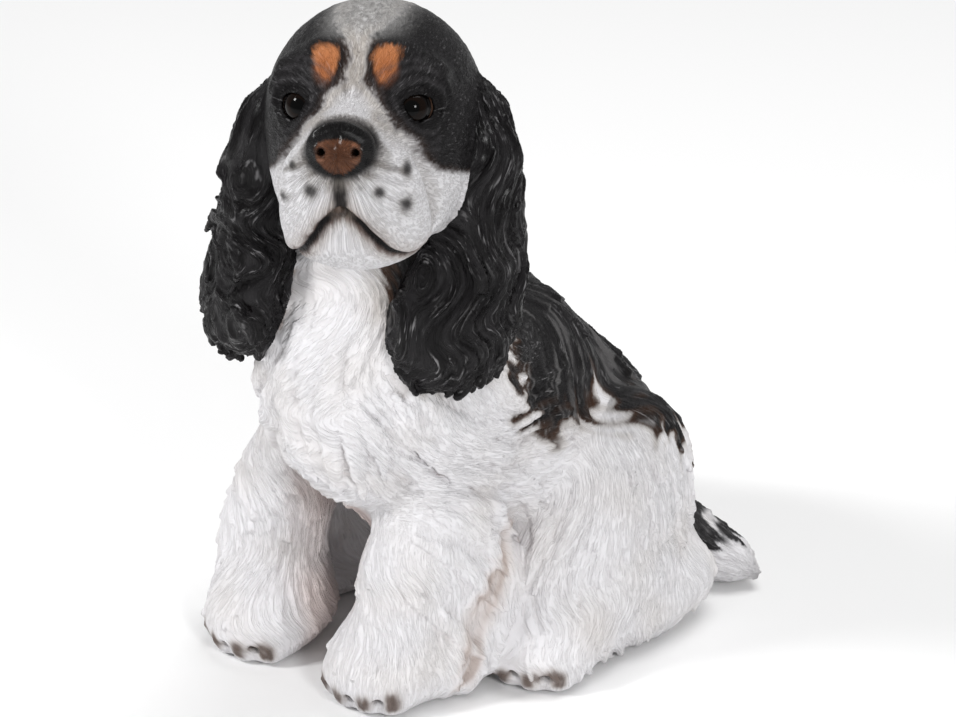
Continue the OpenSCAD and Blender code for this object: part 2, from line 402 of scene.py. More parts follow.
def sculpt_face():
    window, axes = around(from_head((0, -38, -14)), (62, 62, 58))
    x, y, z = head_axes(*axes)
    side = np.abs(x)
    # Brows, the hollow between them, and the stop above the bridge.
    add(window, ellipsoid(side, y, z, (13, -31.5, 20), (9, 8, 9)), 7)
    add(window, ellipsoid(side, y, z, (27, -29, 15), (6, 5, 6.5)), 7)
    ridge([(5, -43, 14), (6.5, -46, 8), (9, -48, 3)], 3.0, 1.6, 4)
    furrow([(0, -38, 30), (0, -41, 20), (0, -46, 10)], 1.8, 5, both=False)
    furrow([(3.6, -40, 20), (4, -44, 12), (5.5, -47, 5)], 0.9, 2.5)
    # Sides of the muzzle, the flews, and the chin.
    add(window, ellipsoid(side, y, z, (12.5, -54, -25), (12.5, 15.5, 13)), 6)
    add(window, ellipsoid(side, y, z, (17, -38, -38), (10, 21, 12)), 6)
    carve(window, capsule(side, y, z, (15.5, -70, -3), (25, -52, -4), 2.5, 2), 8)
    furrow([(22, -52, -4), (27, -46, -14), (30, -40, -26), (31, -33, -38)], 2.6, 6)
    # Nose pad, with a raised rim, wings round the nostrils, and a groove down the middle.
    add(window, ellipsoid(x, y, z, NOSE, NOSE_SIZE), 1.6)
    add(window, ellipsoid(side, y, z, (7.2, -70.5, -9), (5.0, 6.0, 5.6)), 2)
    rim = np.sqrt((x / 11.6) ** 2 + ((z + 8.5) / 9.4) ** 2)
    rim = np.sqrt(((rim - 1) * 11) ** 2 + (np.maximum(y + 70, 0) * 0.6 + np.maximum(-71.5 - y, 0)) ** 2) - 1.4
    add(window, np.where(z > -17, rim, BAND), 1.5)
    carve(window, ellipsoid(side, y, z, NOSTRIL, (1.4, 5.2, 1.6)), 1.0)
    furrow([(9, -76, -10.5), (11, -73, -12.5), (13, -69, -13.5)], 1.1, 1.0)
    furrow([(0, -77, -3), (0, -77, -9), (0, -76, -15), (0, -74, -19)], 0.9, 1.0, both=False, taper=False)
    furrow([(0, -73.5, -18.5), (0, -71, -24), (0, -68.5, -31)], 1.3, 3, both=False, taper=False)
    # The lips meet over the chin; the upper lip hangs a little.
    ridge([(p[0] + 0.6, p[1], p[2] + 3.6) for p in MOUTH], 3.2, 1.9, 4)
    furrow(MOUTH, 1.9, 1.6, taper=False)
    furrow([(26, -35, -48), (28.5, -30, -45), (29.5, -27, -40)], 1.3, 3)
    add(window, ellipsoid(x, y, z, (0, -48, -45.5), (16.5, 16, 8.5)), 3.5)
    for points in ([(15, -69, -15), (18, -66, -17), (21, -61, -18.5)],
                   [(14, -69, -20), (18, -66, -22), (22, -60, -23.5)],
                   [(13, -69, -25), (17.5, -65, -27.5), (22, -59, -29)]):
        furrow(points, 0.8, 2.5)
    # Eyes: lids over the ball, open in an almond, with folds above and a corner towards the nose.
    for name, sign in (("left", 1), ("right", -1)):
        c = to_head(EYES[name][None])[0]
        u = (x - c[0]) * sign
        v, w = y - c[1], z - c[2]
        out, ahead = math.sin(math.radians(24)), -math.cos(math.radians(24))
        across = u * -ahead + v * out
        forward = u * out + v * ahead
        ball = np.sqrt(u * u + v * v + w * w)
        tilt = w - 0.12 * across
        high = np.where(tilt > -0.6, 5.6, 6.4)
        opening = (np.sqrt((across / 8.0) ** 2 + ((tilt + 0.6) / high) ** 2) - 1) * 6.2
        corner = np.sqrt(((across + 7.6) / 3.0) ** 2 + ((tilt + 1.8) / 1.5) ** 2) * 1.6 - 1.6
        lids = smooth_max(ball - (EYE_RADIUS + 1.5), -np.minimum(opening, corner), 1.0)
        lids = np.maximum(lids, -forward)
        add(window, lids, 1.6)
        for reach, thick, low_end in ((11.2, 1.3, -2), (14.2, 1.5, 2)):
            fold = np.sqrt((np.sqrt(across ** 2 + (tilt * 1.1) ** 2) - reach) ** 2
                           + (forward - 13.2 + reach * 0.75) ** 2) - thick
            add(window, np.where(tilt > low_end, fold, BAND), 2.2)
        bag = np.sqrt((np.sqrt(across ** 2 + (tilt * 1.15) ** 2) - 11) ** 2 + (forward - 4.2) ** 2) - 1.1
        add(window, np.where(tilt < -3, bag, BAND), 2.0)
        carve(window, ball - (EYE_RADIUS + 0.1), 0.3)


sculpt_face()


# ---------- Paws ----------

def disc_centres():
    """Middles of the felt pads: one under each paw, and one under the rump."""
    left = SOLIDS["felt_pads"][0][:, :2]
    found = []
    while len(left):
        near = np.linalg.norm(left - left[0], axis=1) < 25
        box = left[near]
        found.append((box.min(0) + box.max(0)) / 2)
        left = left[~near]
    return found


PADS = disc_centres()
PAWS = {}
for name in ("foreleg_left", "foreleg_right", "hind_leg_left", "hind_leg_right"):
    low, high = (np.array(c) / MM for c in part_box(name))
    inside = [p for p in PADS if low[0] < p[0] < high[0] and low[1] < p[1] < high[1]]
    PAWS[name] = min(inside, key=lambda p: p[1])
PAW_ANGLE = {"foreleg_left": 4, "foreleg_right": -4, "hind_leg_left": 8, "hind_leg_right": -14}
CLAWS = []


def sculpt_paws():
    for name, (px, py) in PAWS.items():
        window, (x, y, z) = around((px, py - 8, 14), (36, 36, 24))
        centre = np.array([px, py, 0.0])

        def out(turn_by, reach, height):
            a = math.radians(PAW_ANGLE[name] + turn_by)
            return centre + np.array([math.sin(a) * reach, -math.cos(a) * reach, height])

        for turn_by in (-36, -12, 12, 36):
            add(window, ellipsoid(x, y, z, out(turn_by, 22.5, 9), (6.6, 6.4, 8.5)), 3)
        for turn_by in (-24, 0, 24):
            path = settle([out(turn_by, r, h) for r, h in ((17, 25), (21, 20), (25, 14), (28, 8), (28, 4))])
            carve(*chain(path, (0.3, 1.2, 2.0, 2.3, 1.8)), 3)


def add_claws():
    for name, (px, py) in PAWS.items():
        for turn_by in (-36, -12, 12, 36):
            a = math.radians(PAW_ANGLE[name] + turn_by)
            way = np.array([math.sin(a), -math.cos(a), 0])
            path = settle([np.array([px, py, h]) + way * r for r, h in ((27, 11.5), (29.5, 9), (30, 6.5))])
            path -= slope(path) * np.array((0.9, 0.5, 0.7))[:, None]
            add(*chain(path, (1.0, 1.5, 1.0)), 0.6)
            CLAWS.append(path)


sculpt_paws()


# ---------- Hair: strands run along each part, and wave ----------

# For each part: two ends of the line its hair runs along, the radius it is rolled out at (none
# for a flat part), the width and length of a wave in it, how much it wanders, and how much it
# drifts sideways for each millimetre down.
STRANDS = {
    "torso": ((4, 0, 250), (4, 0, 0), 55, 2.6, 36, 5, 0.0),
    "head": (tuple(from_head((0, -74, -10))), tuple(from_head((0, 44, 6))), 34, 0.6, 40, 2, 0.0),
    "ear_left": ((60, -38, 262), (50, -54, 135), None, 5.0, 52, 4, 0.0),
    "ear_right": ((-18, -72, 262), (-32, -76, 135), None, 5.0, 52, 4, 0.0),
    "foreleg_left": ((36, -28, 140), (22, -48, 0), 21, 0.9, 40, 4, 0.22),
    "foreleg_right": ((-30, -28, 140), (-46, -46, 0), 21, 0.9, 40, 4, 0.45),
    "hind_leg_left": ((52, 46, 115), (60, 46, 0), 36, 1.8, 36, 5, 0.0),
    "hind_leg_right": ((-48, 46, 115), (-58, 46, 0), 36, 1.8, 36, 5, 0.0),
    "tail": ((10, 98, 22), (84, 116, 6), 13, 1.0, 30, 2, 0.0),
}
STRETCH = {"head": 2.2, "ear_left": 13.0, "ear_right": 13.0}
FAN = (15, 245, 85)


# Under the left ear the hair sweeps back round this height and depth, slowly widening.
SWEEP_MIDDLE = (-8, 171)
SWEEP_WIDENING = 12


def sweep(points):
    """Distance and angle round the middle of the sweep, and how far each point belongs to it."""
    x, y, z = points.T
    radius = np.hypot(y - SWEEP_MIDDLE[0], z - SWEEP_MIDDLE[1])
    angle = np.arctan2(y - SWEEP_MIDDLE[0], SWEEP_MIDDLE[1] - z)
    share = smoothstep(114, 86, radius) * smoothstep(12, 32, x) * smoothstep(32, 8, y) * smoothstep(168, 150, z)
    return radius, angle, share


def sweep_strands(points):
    radius, angle, _ = sweep(points)
    wave = 1.6 * np.sin(4.5 * angle + radius / 9) + 3.0 * swell(points, 60, 2.0)
    return np.c_[radius - SWEEP_WIDENING * angle + wave, points[:, 0] * 0.2, 11 * angle].astype(np.float32)


def strands(points, name):
    """Points rolled out round the part's line, squeezed along it, so that noise makes strands."""
    if name == "shoulder":
        return sweep_strands(points)
    a, b, radius, width, length, wander, drift_down = STRANDS[name]
    a, b = np.array(a, float), np.array(b, float)
    axis = (b - a) / np.linalg.norm(b - a)
    side = np.cross(axis, (0.0, 1.0, 0.0) if abs(axis[1]) < 0.7 else (1.0, 0.0, 0.0))
    side /= np.linalg.norm(side)
    other = np.cross(axis, side)
    if name == "torso":
        points = points.copy()
        points[:, 0] = FAN[0] + (points[:, 0] - FAN[0]) * FAN[2] / np.maximum(FAN[1] - points[:, 2], 32)
    d = points - a
    along = d @ axis
    drift = swell(points, 75, 11.0)
    sway = np.sin(along * (2 * math.pi / length) + 1.2 * swell(points, 95, 3.0) + 1.0 * drift)
    shift = width * sway + wander * drift + drift_down * along
    along = along / STRETCH.get(name, 7.0)
    if radius is None:
        return np.c_[d @ other + shift, d @ side * 0.22, along].astype(np.float32)
    angle = np.arctan2(d @ other, d @ side) + shift / radius
    return np.c_[radius * np.cos(angle), radius * np.sin(angle), along].astype(np.float32)


# Depth of the broad and the fine grooves between strands.
LOCK_DEPTH = {"torso": 0.42, "shoulder": 0.75, "head": 0.06, "ear_left": 1.0, "ear_right": 1.0,
              "foreleg_left": 0.4,
              "foreleg_right": 0.4, "hind_leg_left": 0.5, "hind_leg_right": 0.5, "tail": 0.6}
HAIR_DEPTH = {"torso": 0.42, "shoulder": 0.6, "head": 0.07, "ear_left": 0.7, "ear_right": 0.7,
              "foreleg_left": 0.32,
              "foreleg_right": 0.32, "hind_leg_left": 0.36, "hind_leg_right": 0.36, "tail": 0.45}
# Modelled locks: how far apart they start, how long and thick they are, and how far they stand out.
LOCKS = {"torso": (13, 36, 3.8, 1.5), "shoulder": (10, 40, 3.6, 1.7),
         "ear_left": (11, 64, 4.4, 1.5), "ear_right": (11, 64, 4.4, 1.5),
         "foreleg_left": (10, 28, 3.0, 1.1), "foreleg_right": (10, 28, 3.0, 1.1),
         "hind_leg_left": (11, 32, 3.4, 1.6), "hind_leg_right": (11, 32, 3.4, 1.6), "tail": (8, 22, 3.0, 1.0)}
# Big tufts, each by the points it passes through: down the chest, under the left ear and back
# over the shoulder, behind the elbow, and a curl in front of the thigh.
TUFTS = (
    (5.0, ((-2, -76, 165), (-8, -80, 142), (-5, -79, 118), (3, -73, 98))),
    (5.5, ((18, -76, 158), (13, -79, 138), (15, -77, 116), (12, -70, 90))),
    (5.0, ((20, -77, 142), (25, -75, 122), (21, -66, 94))),
    (4.5, ((26, -74, 138), (33, -70, 123), (31, -64, 104))),
    (5.0, ((-15, -76, 156), (-26, -71, 138), (-33, -66, 122))),
    (4.5, ((-12, -78, 140), (-24, -72, 118), (-26, -64, 98))),
    (4.5, ((38, -63, 153), (42, -59, 140), (49, -46, 127), (57, -25, 119), (57, 4, 116))),
    (5.0, ((37, -65, 143), (43, -57, 129), (53, -41, 116), (57, -14, 104), (59, 8, 100))),
    (5.0, ((38, -64, 130), (44, -53, 116), (54, -37, 105), (57, -10, 92), (58, 5, 76))),
    (4.5, ((36, -66, 118), (45, -53, 102), (54, -38, 92), (57, -20, 80), (56, -8, 66))),
    (4.5, ((44, -53, 94), (53, -42, 84), (56, -28, 68), (58, -20, 52))),
    (4.0, ((40, -56, 78), (52, -45, 68), (57, -33, 52), (58, -24, 38))),
    (3.8, ((36, -62, 56), (48, -53, 44), (54, -42, 30), (56, -34, 20))),
    (4.0, ((55, -6, 82), (58, 0, 71), (63, -2, 61), (60, -7, 53), (52, -5, 55))),
)
CREASE = ((54, -14, 70), (57, -24, 54), (55, -32, 42), (54, -37, 28), (53, -40, 10))
LOCK_STEPS = 12


def flow(points, name):
    """The way the hair lies at points on the surface, and the outward direction."""
    normal = slope(points)
    first = np.cross(normal, (0.31, 0.83, 0.46))
    first /= np.maximum(np.linalg.norm(first, axis=1, keepdims=True), 1e-6)
    second = np.cross(normal, first)
    change = [strands(points + way * 0.8, name) - strands(points - way * 0.8, name) for way in (first, second)]
    cross = (change[0][:, :2] * change[1][:, :2]).sum(1)
    excess = (change[0][:, :2] ** 2).sum(1) - (change[1][:, :2] ** 2).sum(1)
    angle = 0.5 * np.arctan2(2 * cross, excess) + math.pi / 2
    along = first * np.cos(angle)[:, None] + second * np.sin(angle)[:, None]
    sign = np.sign(change[0][:, 2] * np.cos(angle) + change[1][:, 2] * np.sin(angle) + 1e-9)
    return along * sign[:, None], normal


def grow_locks(name, seeds, length, radius, lift, rng):
    """Tapering locks that follow the hair from each seed, and stand off at the tip."""
    count = len(seeds)
    points = seeds.astype(float)
    sizes = rng.uniform(0.7, 1.25, count)
    step = (length * rng.uniform(0.75, 1.2, count) / LOCK_STEPS)[:, None]
    way, normal = flow(points, name)
    paths = []
    for i in range(LOCK_STEPS):
        t = i / (LOCK_STEPS - 1)
        off = (lift * (0.35 + 0.65 * t) - radius * sizes * (1 - 0.8 * t * t))[:, None]
        paths.append(points + normal * off)
        fresh, fresh_normal = flow(points, name)
        reached = np.abs(sample(form, points)) < BAND * 0.7
        keep = 0.35 + 0.45 * t
        way = np.where(reached[:, None], way * keep + fresh * (1 - keep), way)
        way /= np.maximum(np.linalg.norm(way, axis=1, keepdims=True), 1e-6)
        normal = np.where(reached[:, None], fresh_normal, normal)
        points = points + way * step
        points = points - normal * (np.clip(sample(form, points), -2, 2) * (1.0 - 0.35 * t * t))[:, None]
    paths = np.stack(paths, 1)
    at_home = [nearness(paths[:, i])[name] > 0.3 for i in range(2, LOCK_STEPS, 3)]
    kept = np.all(at_home, axis=0)
    paths, sizes = paths[kept], sizes[kept]
    t = np.linspace(0, 1, LOCK_STEPS)
    taper = np.sin(np.clip(t * 1.5 + 0.35, 0, math.pi / 2)) * (1 - 0.88 * t ** 2.2)
    return paths, taper, sizes * radius


def scatter(candidates, spacing, rng):
    """One candidate from each cell of a grid of the given spacing."""
    order = rng.permutation(len(candidates))
    cells = np.floor(candidates[order] / spacing).astype(np.int64)
    key = (cells[:, 0] * 4096 + cells[:, 1]) * 4096 + cells[:, 2]
    _, chosen = np.unique(key, return_index=True)
    return candidates[order[chosen]]


def smooth_path(points, count=16):
    """Points spread evenly along a rounded line through the given ones."""
    points = np.array(points, float)
    steps = np.linspace(0, len(points) - 1, count)
    dense = np.c_[tuple(np.interp(steps, np.arange(len(points)), points[:, i]) for i in range(3))]
    for _ in range(3):
        dense[1:-1] = (dense[:-2] + 2 * dense[1:-1] + dense[2:]) / 4
    return dense


def lay_tufts():
    furrow_path = settle(smooth_path(CREASE))
    carve(*chain(furrow_path, 2.2 * np.sin(np.linspace(0.3, math.pi - 0.3, len(furrow_path)))), 6)
    for radius, points in TUFTS:
        path = smooth_path(points)
        t = np.linspace(0, 1, len(path))
        taper = np.sin(np.clip(t * 2.2 + 0.3, 0, math.pi / 2)) * (1 - 0.8 * t ** 2.5)
        path = settle(path)
        out = slope(path)
        for offset, share in ((-0.75, 0.62), (0.0, 0.8), (0.75, 0.6)):
            along = np.gradient(path, axis=0)
            across = np.cross(out, along)
            across /= np.maximum(np.linalg.norm(across, axis=1, keepdims=True), 1e-6)
            strand_path = path + across * (offset * radius * taper * (1 - 0.5 * t))[:, None]
            strand_path += out * (2.3 - radius * share * taper)[:, None] * (0.6 + 0.4 * t)[:, None]
            add(*chain(np.clip(strand_path, LOW + 2, HIGH - 2), radius * share * taper), 0.6)


def lay_locks():
    rng = np.random.default_rng(21)
    skin = np.nonzero(np.abs(form) < 0.5 * VOXEL)
    points = (np.stack(skin, 1) + FIRST) * VOXEL
    weights = nearness(points)
    seeds = {}
    for name in LOCKS:
        mine = (weights[name] > 0.75) & (points[:, 2] > 9) & (calm(points) > 0.9)
        seeds[name] = scatter(points[mine], LOCKS[name][0], rng)
    laid = []
    for name, start in seeds.items():
        _, length, radius, lift = LOCKS[name]
        paths, taper, sizes = grow_locks(name, start, length, radius, lift, rng)
        laid += [(path, taper * size) for path, size in zip(paths, sizes)]
    laid.sort(key=lambda lock: lock[0][0, 2])
    for path, radii in laid:
        radii = np.maximum(radii, 1.1)
        path = np.clip(path, LOW + 2, HIGH - 2)
        path[:, 2] = np.maximum(path[:, 2], PAD_HEIGHT + 1.5)
        add(*chain(path, radii), 0.8)


def nearness(points):
    """How far each point belongs to each casting, adding up to one."""
    weights = {}
    for name in CAST:
        window, values = parts[name]
        start = np.array([s.start for s in window])
        q = np.rint(points / VOXEL).astype(int) - FIRST - start
        inside = np.all((q >= 0) & (q < np.array(values.shape)), axis=1)
        level = np.full(len(points), BAND, np.float32)
        level[inside] = values[tuple(q[inside].T)]
        weights[name] = np.exp(-level / 1.5)
    total = sum(weights.values())
    weights = {name: w / total for name, w in weights.items()}
    share = sweep(points)[2]
    weights["shoulder"] = share * (weights["torso"] + weights["foreleg_left"])
    for name in ("torso", "foreleg_left"):
        weights[name] = weights[name] * (1 - share)
    return weights


def calm(points):
    """One where hair may be deep, and less on the paws' toes and at the ground."""
    quiet = np.ones(len(points), np.float32)
    for px, py in PAWS.values():
        d = np.linalg.norm((points - (px, py - 8, 4)) / (30, 30, 28), axis=1)
        quiet = np.minimum(quiet, mix(0.25, 1, smoothstep(0.8, 1.3, d)))
    return quiet


def grain(points, normal, weights, heights, depths):
    """Heights of the strands at points, each casting's counting by how near it is."""
    total = np.zeros(len(points), np.float32)
    for name, weight in weights.items():
        use = weight > 0.02
        if not use.any():
            continue
        shown = weight[use]
        if name.startswith("ear"):
            a, b = (np.array(end, float) for end in STRANDS[name][:2])
            shown = shown * (1 - smoothstep(0.75, 0.97, np.abs(normal[use] @ (b - a)) / np.linalg.norm(b - a)))
        total[use] += shown * heights(strands(points[use], name)) * depths[name]
    return total * calm(points)


def broad_heights(strand):
    return np.abs(noise(strand, 13)) * 1.1 - 0.75 + 0.45 * np.abs(noise(strand, 6.5, 5.0))


def fine_heights(strand):
    return np.abs(noise(strand, 3.2, 2.0)) - 0.6 + 0.5 * (np.abs(noise(strand, 1.9, 8.0)) - 0.6)


def raise_locks():
    """Broad strands, cut into the form itself."""
    band = np.nonzero(np.abs(form) < 2.6)
    points = (np.stack(band, 1) + FIRST) * VOXEL
    form[band] -= grain(points, slope(points), nearness(points), broad_heights, LOCK_DEPTH)


lay_locks()
lay_tufts()
raise_locks()
add_claws()
window, (x, y, z) = around((0, 0, 0), (200, 200, 12))
form[:, :, window[2]] = np.maximum(form[:, :, window[2]], PAD_HEIGHT - z)
window, (x, y, z) = around((*VENT, 0), (12, 12, 16))
vent = VENT_RADIUS - np.sqrt((x - VENT[0]) ** 2 + (y - VENT[1]) ** 2)
form[window] = np.maximum(form[window], np.minimum(vent, 14 - z + 0 * x))


# ---------- Pieces ----------

LAP = 1.2


def cut_piece(name):
    """The part of the form that is nearer to this casting than to any other, with a small lap."""
    window, values = parts[name]
    own = form[window].copy()
    rival = np.full(values.shape, BAND, np.float32)
    for other in CAST:
        if other == name:
            continue
        w, v = parts[other]
        lows = [max(a.start, b.start) for a, b in zip(window, w)]
        highs = [min(a.stop, b.stop) for a, b in zip(window, w)]
        if any(l >= h for l, h in zip(lows, highs)):
            continue
        mine = tuple(slice(l - a.start, h - a.start) for l, h, a in zip(lows, highs, window))
        theirs = tuple(slice(l - b.start, h - b.start) for l, h, b in zip(lows, highs, w))
        rival[mine] = np.minimum(rival[mine], v[theirs])
    beyond = (values - rival) * 0.5
    own = np.maximum(own + 0.9 * smoothstep(-0.2, LAP, beyond), beyond - LAP)
    grid = openvdb.FloatGrid(BAND)
    grid.transform = openvdb.createLinearTransform(voxelSize=VOXEL)
    start = tuple(int(s.start + f) for s, f in zip(window, FIRST))
    grid.copyFromArray(np.clip(own, -BAND, BAND), ijk=start)
    return grid.convertToQuads(0.0)


def drop_crumbs(points, quads):
    """Leaves out any bits that aren't joined to the casting."""
    label = np.arange(len(points))
    while True:
        least = label[quads].min(axis=1)
        fresh = label.copy()
        np.minimum.at(fresh, quads.ravel(), np.repeat(least, 4))
        fresh = fresh[fresh]
        if np.array_equal(fresh, label):
            break
        label = fresh
    used = np.bincount(label).argmax() == label
    number = np.cumsum(used) - 1
    return points[used], number[quads[used[quads[:, 0]]]]


def make_mesh(name, points, quads):
    mesh = bpy.data.meshes.new(name)
    mesh.vertices.add(len(points))
    mesh.vertices.foreach_set("co", (points * MM).astype(np.float32).ravel())
    mesh.loops.add(len(quads) * 4)
    mesh.loops.foreach_set("vertex_index", quads.astype(np.int32).ravel())
    mesh.polygons.add(len(quads))
    mesh.polygons.foreach_set("loop_start", np.arange(0, len(quads) * 4, 4, dtype=np.int32))
    mesh.polygons.foreach_set("use_smooth", np.ones(len(quads), bool))
    mesh.update(calc_edges=True)
    mesh.validate()
    obj = bpy.data.objects.new(name, mesh)
    bpy.context.scene.collection.objects.link(obj)
    return obj


def normals_of(mesh):
    out = np.empty(len(mesh.vertices) * 3, np.float32)
    mesh.vertex_normals.foreach_get("vector", out)
    return out.reshape(-1, 3)


SLOTS = {entry["node"]: entry["material_slot"] for entry in frame["record"]["subparts"]}


# ---------- Paint: colours laid on by place, with borders that follow the hair ----------

WHITE = np.array((0.775, 0.765, 0.785))
CREAM = np.array((0.66, 0.60, 0.54))
BLACK = np.array((0.0050, 0.0044, 0.0048))
SMOKE = np.array((0.016, 0.015, 0.016))
BROWN = np.array((0.075, 0.036, 0.020))
TAN = np.array((0.40, 0.15, 0.058))
LEATHER = np.array((0.135, 0.052, 0.025))
PINK = np.array((0.66, 0.55, 0.52))


def layer(colour, over, amount):
    return colour + (over - colour) * np.clip(amount, 0, 1)[:, None]


def spot(p, centre, radius, soft=1.0):
    """One inside a painted dot, falling softly to nothing outside it."""
    d = np.linalg.norm((p - centre) / radius, axis=1)
    return 1 - smoothstep(1 - 0.35 * soft, 1 + 0.35 * soft, d)


def distance_to_path(p, path):
    best = np.full(len(p), 1e3)
    for a, b in zip(path, path[1:]):
        a, b = np.array(a, float), np.array(b, float)
        d = b - a
        t = np.clip(((p - a) @ d) / (d @ d), 0, 1)
        best = np.minimum(best, np.linalg.norm(p - a - t[:, None] * d, axis=1))
    return best


# Half the width of the white down the face, at heights in the head's frame.
BLAZE = ((60, 15), (38, 11), (31, 5.5), (24, 2.6), (15, 3.4), (9, 9.5), (2, 13.5), (-4, 19.5),
         (-9, 23), (-16, 27), (-20, 33), (-24, 44), (-30, 60))


def paint_head(points, strand):
    p = to_head(points)
    x, y, z = p.T
    side = np.abs(x)
    mirrored = np.c_[side, y, z]
    stipple = noise(strand, 1.6, 4.0)
    wobble = 0.25 * stipple + 0.7 * noise(p, 10, 2.0)
    heights, widths = zip(*BLAZE[::-1])
    half = np.interp(z, heights, widths)
    inside = half - side + wobble
    back_of_head = smoothstep(-6, 6, y + 12 - 0.4 * (z + 40) + wobble)
    under = smoothstep(-30, -44, z)
    soft = np.interp(z, (-24, -8, 30, 40), (3.4, 2.0, 1.8, 5.0))
    white = smoothstep(-1.1, 1.2, inside / soft + 0.14 * stipple) * (1 - back_of_head * (1 - under))
    colour = layer(np.tile(BLACK, (len(p), 1)), SMOKE, 0.4 + 0.35 * stipple)
    colour = layer(colour, BROWN * 0.7, smoothstep(-6, 0, inside) * 0.5 * (z < 30) * (1 - back_of_head))
    colour = layer(colour, WHITE * 0.88, white)
    # Beige edges to the blaze, and a grey crown.
    edge = np.exp(-((inside - 2.0) / 3.0) ** 2) * smoothstep(-14, 0, z)
    colour = layer(colour, CREAM * 0.62, edge * 0.7 * white)
    colour = layer(colour, CREAM * 0.62, smoothstep(6, 20, z) * (0.55 + 0.2 * stipple) * white)
    crown = smoothstep(27, 37, z) * smoothstep(22, 7, side + 1.5 * stipple) * (1 - back_of_head)
    colour = layer(colour, np.array((0.29, 0.285, 0.28)), crown * (0.85 + 0.15 * stipple))
    flecks = smoothstep(0.1, 1.3, noise(strand, 2.6, 12.0)) * smoothstep(2, 30, z)
    colour = layer(colour, SMOKE * 2, flecks * 0.2 * white)
    # Tan patches over the eyes, darker round their edges.
    brow = np.sqrt(((side - 11.4 - 0.1 * (z - 21)) / np.maximum(5.2 + 0.28 * (z - 21), 1)) ** 2
                   + (np.abs(z - 21.3) / 7.3) ** 2.6)
    brow = brow - 0.07 * wobble
    front = y < -20
    colour = layer(colour, BLACK, (1 - smoothstep(0.95, 1.5, brow)) * front * 0.85)
    colour = layer(colour, TAN, (1 - smoothstep(0.66, 1.10, brow + 0.09 * stipple)) * front)
    middle_of_brow = spot(mirrored, np.array((12, -40, 18.5)), np.array((3.6, 9, 5)), 2)
    colour = layer(colour, TAN * (0.75, 0.62, 0.5), middle_of_brow * 0.7)
    # Eyes: dark lids, painted highlights along the folds above them, and a brown corner.
    for name in EYES:
        c = to_head(EYES[name][None])[0]
        d = np.linalg.norm((p - c) / (1.25, 1, 1.05), axis=1)
        colour = layer(colour, BLACK, 1 - smoothstep(11.0, 15.5, d + 0.5 * wobble))
        # Painted highlights on the lid folds: lighter rings on the dark paint in front of each eye.
        for ring in (11.6, 14.6, 17.2):
            lid_fold_highlight = np.exp(-((d - ring + 0.3 * stipple) / 0.7) ** 2) * (y < c[1])
            colour = layer(colour, SMOKE * 3, lid_fold_highlight * 0.45 * (1 - white))
        inner = c + (-math.copysign(8.5, c[0]), -6.5, -2.5)
        colour = layer(colour, BROWN * 0.8, spot(p, inner, np.array((3.2, 3.5, 2.4))) * 0.8)
    # Mouth and the groove above it: dark painted lines, each in a broad band of painted shade.
    line = distance_to_path(mirrored, MOUTH)
    # Painted shade: a broad soft darkening round the mouth.
    colour = layer(colour, CREAM * (0.52, 0.48, 0.46), (1 - smoothstep(1.0, 9.0, line + 0.5 * stipple)) * 0.62)
    colour = layer(colour, BROWN * (1.0, 1.0, 1.2), (1 - smoothstep(1.2, 4.4, line + 0.4 * stipple)) * 0.88)
    colour = layer(colour, BLACK * 1.6, 1 - smoothstep(1.0, 2.6, line))
    groove = distance_to_path(p, ((0, -74, -17), (0, -72, -23), (0, -68.5, -31)))
    # Painted shade: a broad soft darkening round the groove.
    colour = layer(colour, CREAM * (0.50, 0.46, 0.44), (1 - smoothstep(1.0, 7.5, groove + 0.5 * stipple)) * 0.65)
    colour = layer(colour, BLACK * 2, (1 - smoothstep(1.7, 4.2, groove + 0.3 * stipple)) * 0.95)
    # Thin dark lines from the nose towards the whisker spots, and a shaded hollow behind the lips.
    for ends in (((11, -72, -13), (23, -60, -18)), ((10, -72, -18), (22, -60, -24)),
                 ((8, -71, -23), (20, -63, -29))):
        whisker_line = distance_to_path(mirrored, ends) + 0.25 * stipple
        colour = layer(colour, CREAM * 0.26, (1 - smoothstep(0.6, 2.1, whisker_line)) * 0.65)
    fold = distance_to_path(mirrored, ((26, -47, -12), (30, -40, -26), (31, -33, -40)))
    colour = layer(colour, CREAM * 0.5, (1 - smoothstep(1.0, 7.0, fold + 0.6 * stipple)) * 0.45 * white)
    # Whisker spots.
    for place, size in (((-11.3, -70.4, -24.5), (2.6, 4, 2.4)), ((14.6, -68.7, -24.5), (1.9, 4, 2.0)),
                        ((22.5, -60, -29.5), (2.4, 4, 2.9)), ((22.9, -58.2, -17.2), (1.5, 4, 3.2)),
                        ((-19.4, -63.8, -15.6), (1.6, 4, 1.5)), ((-22.8, -60.3, -27.3), (2.0, 4, 1.8))):
        soft = spot(p + 0.5 * wobble[:, None] * (1, 0, 1), np.array(place), np.array(size) * 1.45, 1.6)
        colour = layer(colour, CREAM * 0.32, soft * 0.6)
        colour = layer(colour, SMOKE * 1.2, spot(p, np.array(place), np.array(size), 1.4) * 0.88)
